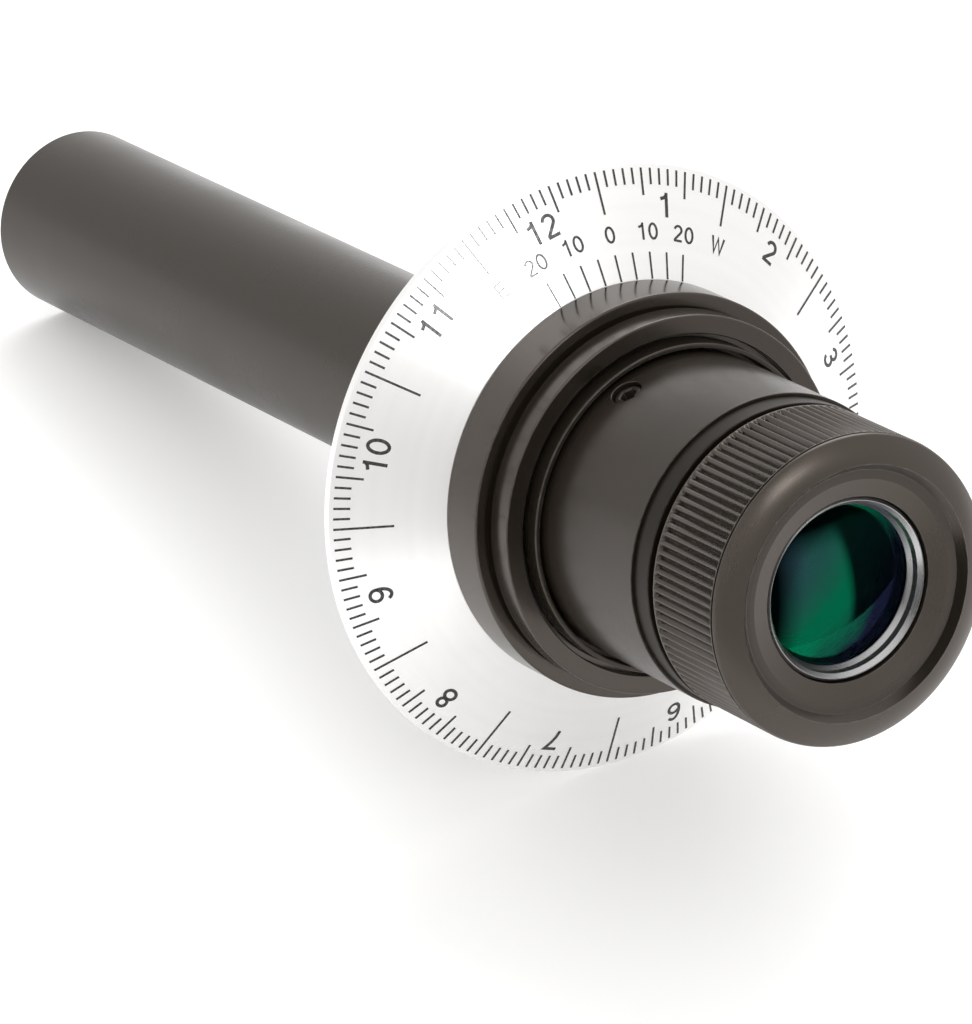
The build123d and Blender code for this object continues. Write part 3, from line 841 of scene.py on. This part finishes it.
def grub_screw(node, angle):
    """A set screw with a hexagon socket, built along its own axis and turned into place."""
    top = barrel_r - SCREW_SUNK
    thread_low, thread_high = SCREW_TIP + 0.25, top - 0.25
    steps = round((thread_high - thread_low) / 0.06)
    rows = [plain_row(0.0, SCREW_TIP), plain_row(0.9, SCREW_TIP), plain_row(1.25, SCREW_TIP + 0.12)]
    rows += [thread_row(min(1.0, k / 6, (steps - k) / 6), thread_low + (thread_high - thread_low) * k / steps)
             for k in range(steps + 1)]
    rows += [plain_row(SCREW_R - 0.1, top - 0.12), plain_row(SCREW_R - 0.22, top - 0.02)]
    rows += [plain_row(SCREW_R - 0.28, top), socket_row(0.12, top), socket_row(0.02, top - 0.1)]
    rows += [socket_row(0.0, top - 0.14), socket_row(0.0, top - SOCKET_DEPTH)]
    rows += [socket_row(-0.05, top - SOCKET_DEPTH - 0.08), plain_row(0.0, top - SOCKET_DEPTH - 0.45)]
    turn = Matrix.Rotation(angle, 3, "Y")
    vertices, faces = [], []
    for row in rows:
        for j in range(SCREW_COLUMNS):
            a = TURN * j / SCREW_COLUMNS
            r, height = row(a)
            vertices.append(turn @ Vector((r * math.cos(a), screw_y + r * math.sin(a), height)))
    for low in range(0, (len(rows) - 1) * SCREW_COLUMNS, SCREW_COLUMNS):
        high = low + SCREW_COLUMNS
        for j in range(SCREW_COLUMNS):
            k = (j + 1) % SCREW_COLUMNS
            faces.append((low + j, low + k, high + k, high + j))
    weld(stand_for(node, vertices, faces))


for screw, screw_angle in zip(SCREWS, screw_angles):
    grub_screw(screw, screw_angle)


# ---------------------------------------------------------------- nose ring with its focusing thread

nose_r, nose_end, nose_back = span("barrel_nose_ring")
FOCUS_PITCH = 1.0
FOCUS_THREAD_DEPTH = 0.4
FOCUS_THREAD_R = 14.2
NOSE_CHAMFER = 0.35
NOSE_NECK_R = 13.78
NOSE_BORE_R = 12.0
nose_face = barrel_face - 2.4
nose_relief_r = FOCUS_THREAD_R - 0.3
focus_thread = thread(FOCUS_THREAD_R, nose_end + NOSE_CHAMFER, nose_face - NOSE_CHAMFER, FOCUS_PITCH,
                      FOCUS_THREAD_DEPTH)
# The nose ring wears painted shade: a darker black that stands in for the shadow between barrel and knurl.
stand_for("barrel_nose_ring", *turned(rounded([
    (NOSE_BORE_R, nose_end, 0.1),
    (FOCUS_THREAD_R - NOSE_CHAMFER, nose_end, 0.05),
    (FOCUS_THREAD_R, nose_end + NOSE_CHAMFER, 0),
    *stations(FOCUS_THREAD_R, nose_end + NOSE_CHAMFER + 0.1, nose_face - NOSE_CHAMFER, 0.08),
    (nose_relief_r, nose_face - 0.3, 0),
    (nose_relief_r, nose_face, 0.04),
    (nose_r, nose_face, 0.15),
    (nose_r, barrel_face, 0.13),
    (NOSE_NECK_R, barrel_face, 0.04),
    (NOSE_NECK_R, nose_back, 0.1),
    (NOSE_BORE_R, nose_back, 0.1),
]), 288, focus_thread), look=NOSE_PAINTED_SHADE)


# ---------------------------------------------------------------- eyepiece

eye_r, eye_vertex, eye_back = span("eye_lens")
EYE_CURVE = 24.0
EYE_BACK_CURVE = 60.0
stand_for("eye_lens", *turned([p[:2] for p in (
    dome(eye_vertex, EYE_CURVE, eye_r, 1, 40) + dome(eye_back, EYE_BACK_CURVE, eye_r, -1, 40)[::-1]
)], 192), look=EYE_COATING)


def glass_y(radius):
    """The front of the eye lens at a radius."""
    return eye_vertex + EYE_CURVE - math.sqrt(EYE_CURVE**2 - radius**2)


retainer_r, retainer_face, retainer_back = span("eye_lens_retainer")
GLASS_EDGE_R = 7.9
GLASS_GAP = 0.03
retainer_bore_r = eye_r + 0.05
stand_for("eye_lens_retainer", *turned(rounded([
    (retainer_bore_r, retainer_back, 0.03),
    (retainer_r, retainer_back, 0.03),
    (retainer_r, retainer_face + 0.40, 0.05),
    (retainer_r - 0.32, retainer_face, 0.05),
    (retainer_r - 0.72, retainer_face + 0.50, 0.05),
    (retainer_r - 0.80, retainer_face + 1.15, 0.05),
    (GLASS_EDGE_R, glass_y(GLASS_EDGE_R) - 0.12, 0.03),
    (GLASS_EDGE_R, glass_y(GLASS_EDGE_R) - GLASS_GAP, 0.01),
    (retainer_bore_r, glass_y(eye_r) - GLASS_GAP, 0.02),
])))

focus_r, rim_peak, focus_back = span("focus_ring")
RIDGES = 104
RIDGE_STEPS = 12
GROOVE_DEPTH = 0.52
GROOVE_HALF = 0.44  # half a groove's width, as a share of the pitch
LOW_RUN_OUT = 0.25
HIGH_RUN_OUT = 0.2
RIM_R = 12.65
WALL_FOOT_R = 11.96
COVE_R = 11.0
OPENING_R = 9.15
focus_bore_r = FOCUS_THREAD_R + 0.05
focus_face = rim_peak + 1.1
opening_face = focus_face + 0.4
wall_back = opening_face + 1.95
knurl_low = focus_face + 0.62
knurl_high = focus_back - 0.22
step_r = focus_r - 0.22
rim_start, rim_middle = (focus_r - 0.13, focus_face), (13.9, focus_face - 0.75)
rim_curve = arc_through(rim_start, rim_middle, (RIM_R + 0.06, rim_peak + 0.02), 18)


def knurl(angle, r, y):
    """V grooves along the ring's outside, run out at both ends."""
    if abs(r - focus_r) > 1e-6 or not knurl_low < y < knurl_high:
        return r
    run_out = min(1.0, (y - knurl_low) / LOW_RUN_OUT, (knurl_high - y) / HIGH_RUN_OUT)
    phase = angle * RIDGES / TURN % 1.0
    return r - GROOVE_DEPTH * run_out * max(0.0, 1 - abs(phase - 0.5) / GROOVE_HALF)


stand_for("focus_ring", *turned(rounded([
    (focus_bore_r, wall_back, 0.05),
    (focus_bore_r, focus_back, 0.1),
    (focus_r, focus_back, 0.12),
    (focus_r, knurl_high, 0),
    (focus_r, knurl_high - HIGH_RUN_OUT / 2, 0),
    (focus_r, knurl_high - HIGH_RUN_OUT, 0),
    (focus_r, knurl_low + LOW_RUN_OUT, 0),
    (focus_r, knurl_low + 0.12, 0),
    (focus_r, knurl_low, 0),
    (focus_r, focus_face + 0.56, 0.02),
    (step_r, focus_face + 0.52, 0.02),
    (step_r, focus_face + 0.36, 0.02),
    (focus_r - 0.03, focus_face + 0.32, 0.03),
    *rim_curve,
    (RIM_R, rim_peak, 0),
    (RIM_R - 0.05, rim_peak + 0.04, 0),
    (WALL_FOOT_R, focus_face - 0.24, 0.10),
    (COVE_R, focus_face - 0.2, 0.15),
    (OPENING_R, opening_face, 0.05),
    (OPENING_R, wall_back, 0.05),
]), RIDGES * RIDGE_STEPS, knurl), look=RING_BLACK)


# ---------------------------------------------------------------- floor

def add_object(name, data):
    """A new object in the scene."""
    item = bpy.data.objects.new(name, data)
    bpy.context.scene.collection.objects.link(item)
    return item


def sheet(name, corners, look):
    """A flat sheet through four corners in metres, which isn't part of the object."""
    mesh = bpy.data.meshes.new(name)
    mesh.from_pydata(corners, [], [(0, 1, 2, 3)])
    mesh.materials.append(look)
    item = add_object(name, mesh)
    return item


def paper(name):
    """Pale paper that glows a little, so that it stays plain."""
    s = Shader(name)
    fibres = s.noise(s.place(), 900, 5.0, 0.7)
    return s.finish(s.add("BsdfPrincipled", {
        "Base Color": s.blend(fibres, grey(0.875), grey(0.90)), "Roughness": 0.95, "Specular IOR Level": 0.1,
        "Emission Color": grey(1.0), "Emission Strength": 0.25, "Normal": s.bump(fibres, 0.05, 0.1)}))


# The scope lies on the floor on its dial and the far end of its tube.
FLOOR_HALF = 3.0
FLOOR_FRONT = 0.13
FLOOR_GAP = 0.00002
dial_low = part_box("date_circle")[0]
tube_low, tube_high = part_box("main_tube")
rest_front = Vector((0, dial_back * MM, dial_low.z))
rest_rear = Vector((0, tube_high.y, tube_low.z))
floor_along = (rest_rear - rest_front).normalized()
floor_up = Vector((1, 0, 0)).cross(floor_along)
sideways = Vector((FLOOR_HALF, 0, 0))
near_edge = rest_front - floor_up * FLOOR_GAP - floor_along * FLOOR_FRONT
far_edge = near_edge + floor_along * FLOOR_HALF
floor_corners = [near_edge - sideways, near_edge + sideways, far_edge + sideways, far_edge - sideways]
sheet("floor", floor_corners, paper("paper"))


# ---------------------------------------------------------------- light

class Studio(Shader):
    """The world's light: a white room with a slightly darker, low band in front."""

    def __init__(self):
        world = bpy.data.worlds.new("studio")
        bpy.context.scene.world = world
        world.use_nodes = True
        self.tree = world.node_tree
        self.tree.nodes.clear()

    def build(self):
        x, y, z = self.split(self.add("TexCoord", out="Generated"))
        front = self.between(y, -0.45, -0.65)
        low = self.between(z, 0.10, 0.03)
        aside = self.math("DIVIDE", x, self.math("ABSOLUTE", y))
        band = self.product(front, low, self.between(aside, -0.75, -0.6), self.between(aside, 0.85, 0.7))
        strength = self.between(band, 0.0, 1.0, 1.0, 0.78)
        light = self.add("Background", {"Color": (1.0, 0.995, 0.985, 1.0), "Strength": strength})
        output = self.tree.nodes.new("ShaderNodeOutputWorld")
        self.tree.links.new(light, output.inputs["Surface"])


class Card(Shader):
    """The look of a studio card. It can tell where on the scope a reflection starts."""

    def start(self):
        """The distance from the optical axis and the place along it where the reflection starts."""
        hit = self.add("NewGeometry", out="Position")
        incoming = self.add("NewGeometry", out="Incoming")
        length = self.add("LightPath", out="Ray Length")
        back = self.add("VectorMath", {0: incoming, "Scale": length}, operation="SCALE")
        x, y, z = self.split(self.add("VectorMath", {0: back, 1: hit}, operation="ADD"))
        squares = self.math("ADD", self.product(x, x), self.product(z, z))
        return self.math("SQRT", squares), y

    def on_eyepiece(self, inner_r, outer_r):
        """1 for a reflection that starts on the eyepiece's front between two radii, otherwise 0."""
        off_axis, y = self.start()
        return self.product(self.math("LESS_THAN", off_axis, outer_r * MM),
                            self.math("GREATER_THAN", off_axis, inner_r * MM),
                            self.math("LESS_THAN", y, (wall_back + 1) * MM))

    def opening(self):
        """Brightness by direction: one upright bright opening left of the middle."""
        x, y, z = self.split(self.add("NewGeometry", out="Incoming"))
        side = self.math("DIVIDE", self.product(x, -1.0), y)
        rise = self.math("DIVIDE", self.product(z, -1.0), y)
        edge = self.math("ADD", side, self.product(rise, 0.28))
        return self.product(self.between(side, -0.03, 0.20), self.between(edge, 0.65, 0.52),
                            self.between(rise, 0.12, -0.08), self.between(rise, -2.2, -0.9, 0.35, 1.0))

    def build(self, seen, brightness):
        """A glowing card where seen is 1, and nothing where it's 0."""
        light = self.add("Emission", {"Color": grey(1.0), "Strength": brightness})
        return self.finish(self.add("MixShader", {0: seen, 1: self.add("BsdfTransparent"), 2: light}))


def reflector(name, corners, look):
    """A card in millimetres that is seen only in reflections."""
    card = sheet(name, [Vector(c) * MM for c in corners], look)
    card.visible_camera = False
    card.visible_diffuse = False
    card.visible_transmission = False
    card.visible_shadow = False


def upright(y, left, right, low, high):
    """The corners of a card that faces the eyepiece."""
    return [(left, y, low), (right, y, low), (right, y, high), (left, y, high)]


Studio().build()

DARK = 0.015
CARD_DISTANCE = 45
card_y = eye_vertex - CARD_DISTANCE

# What the eye lens mirrors: darkness with one opening.
card = Card("lens_backdrop")
look = card.build(card.on_eyepiece(0, OPENING_R), card.math("ADD", card.opening(), DARK))
reflector("lens_backdrop", upright(card_y, -140, 170, -140, 60), look)

# What the wall of the focus ring's cove mirrors: darkness on the left and in front.
card = Card("cove_backdrop")
look = card.build(card.on_eyepiece(COVE_R + 0.5, RIM_R + 0.05), DARK)
reflector("cove_backdrop_left", [(-45, -160, -90), (-45, 40, -90), (-45, 40, 220), (-45, -160, 220)], look)
reflector("cove_backdrop_front", upright(card_y - 1, -140, 12, -60, 90), look)

# A window in front, above eye level, that glares on the dial's upper left and only glows on the eyepiece.
GLOW = 6.0
GLARE = 38.0
card = Card("window")
on_dial = card.math("GREATER_THAN", card.start()[0], (collar_r + 0.1) * MM)
look = card.build(1.0, card.between(on_dial, 0.0, 1.0, GLOW, GLARE))
reflector("window", upright(-380, -18, 102, 116, 206), look)

KEY_SIZE = 0.7
KEY_POWER = 4.0
aim = Vector((0, dial_front * MM, 0))
key_data = bpy.data.lights.new("key", "AREA")
key_data.size = KEY_SIZE
key_data.energy = KEY_POWER
key = add_object("key", key_data)
key.location = aim + Vector((0.5, 0.35, 0.8))
key.rotation_mode = "QUATERNION"
key.rotation_quaternion = (aim - key.location).to_track_quat("-Z", "Y")


# ---------------------------------------------------------------- camera

CAMERA_PLACE = Vector((-0.3702, -0.6370, 0.2884))
CAMERA_FORWARD = Vector((0.4568, 0.8091, -0.3697)).normalized()
camera_data = bpy.data.cameras.new("camera")
camera_data.lens = 281.2
camera_data.sensor_width = 36.0
camera_data.clip_start = 0.01
camera_data.clip_end = 20.0
camera = add_object("camera", camera_data)
camera_right = CAMERA_FORWARD.cross(floor_up).normalized()
camera_up = camera_right.cross(CAMERA_FORWARD)
camera_axes = Matrix((camera_right, camera_up, -CAMERA_FORWARD)).transposed().to_4x4()
camera.matrix_world = Matrix.Translation(CAMERA_PLACE) @ camera_axes
bpy.context.scene.camera = camera

bpy.context.scene.view_settings.view_transform = "Standard"
bpy.context.scene.cycles.use_denoising = True
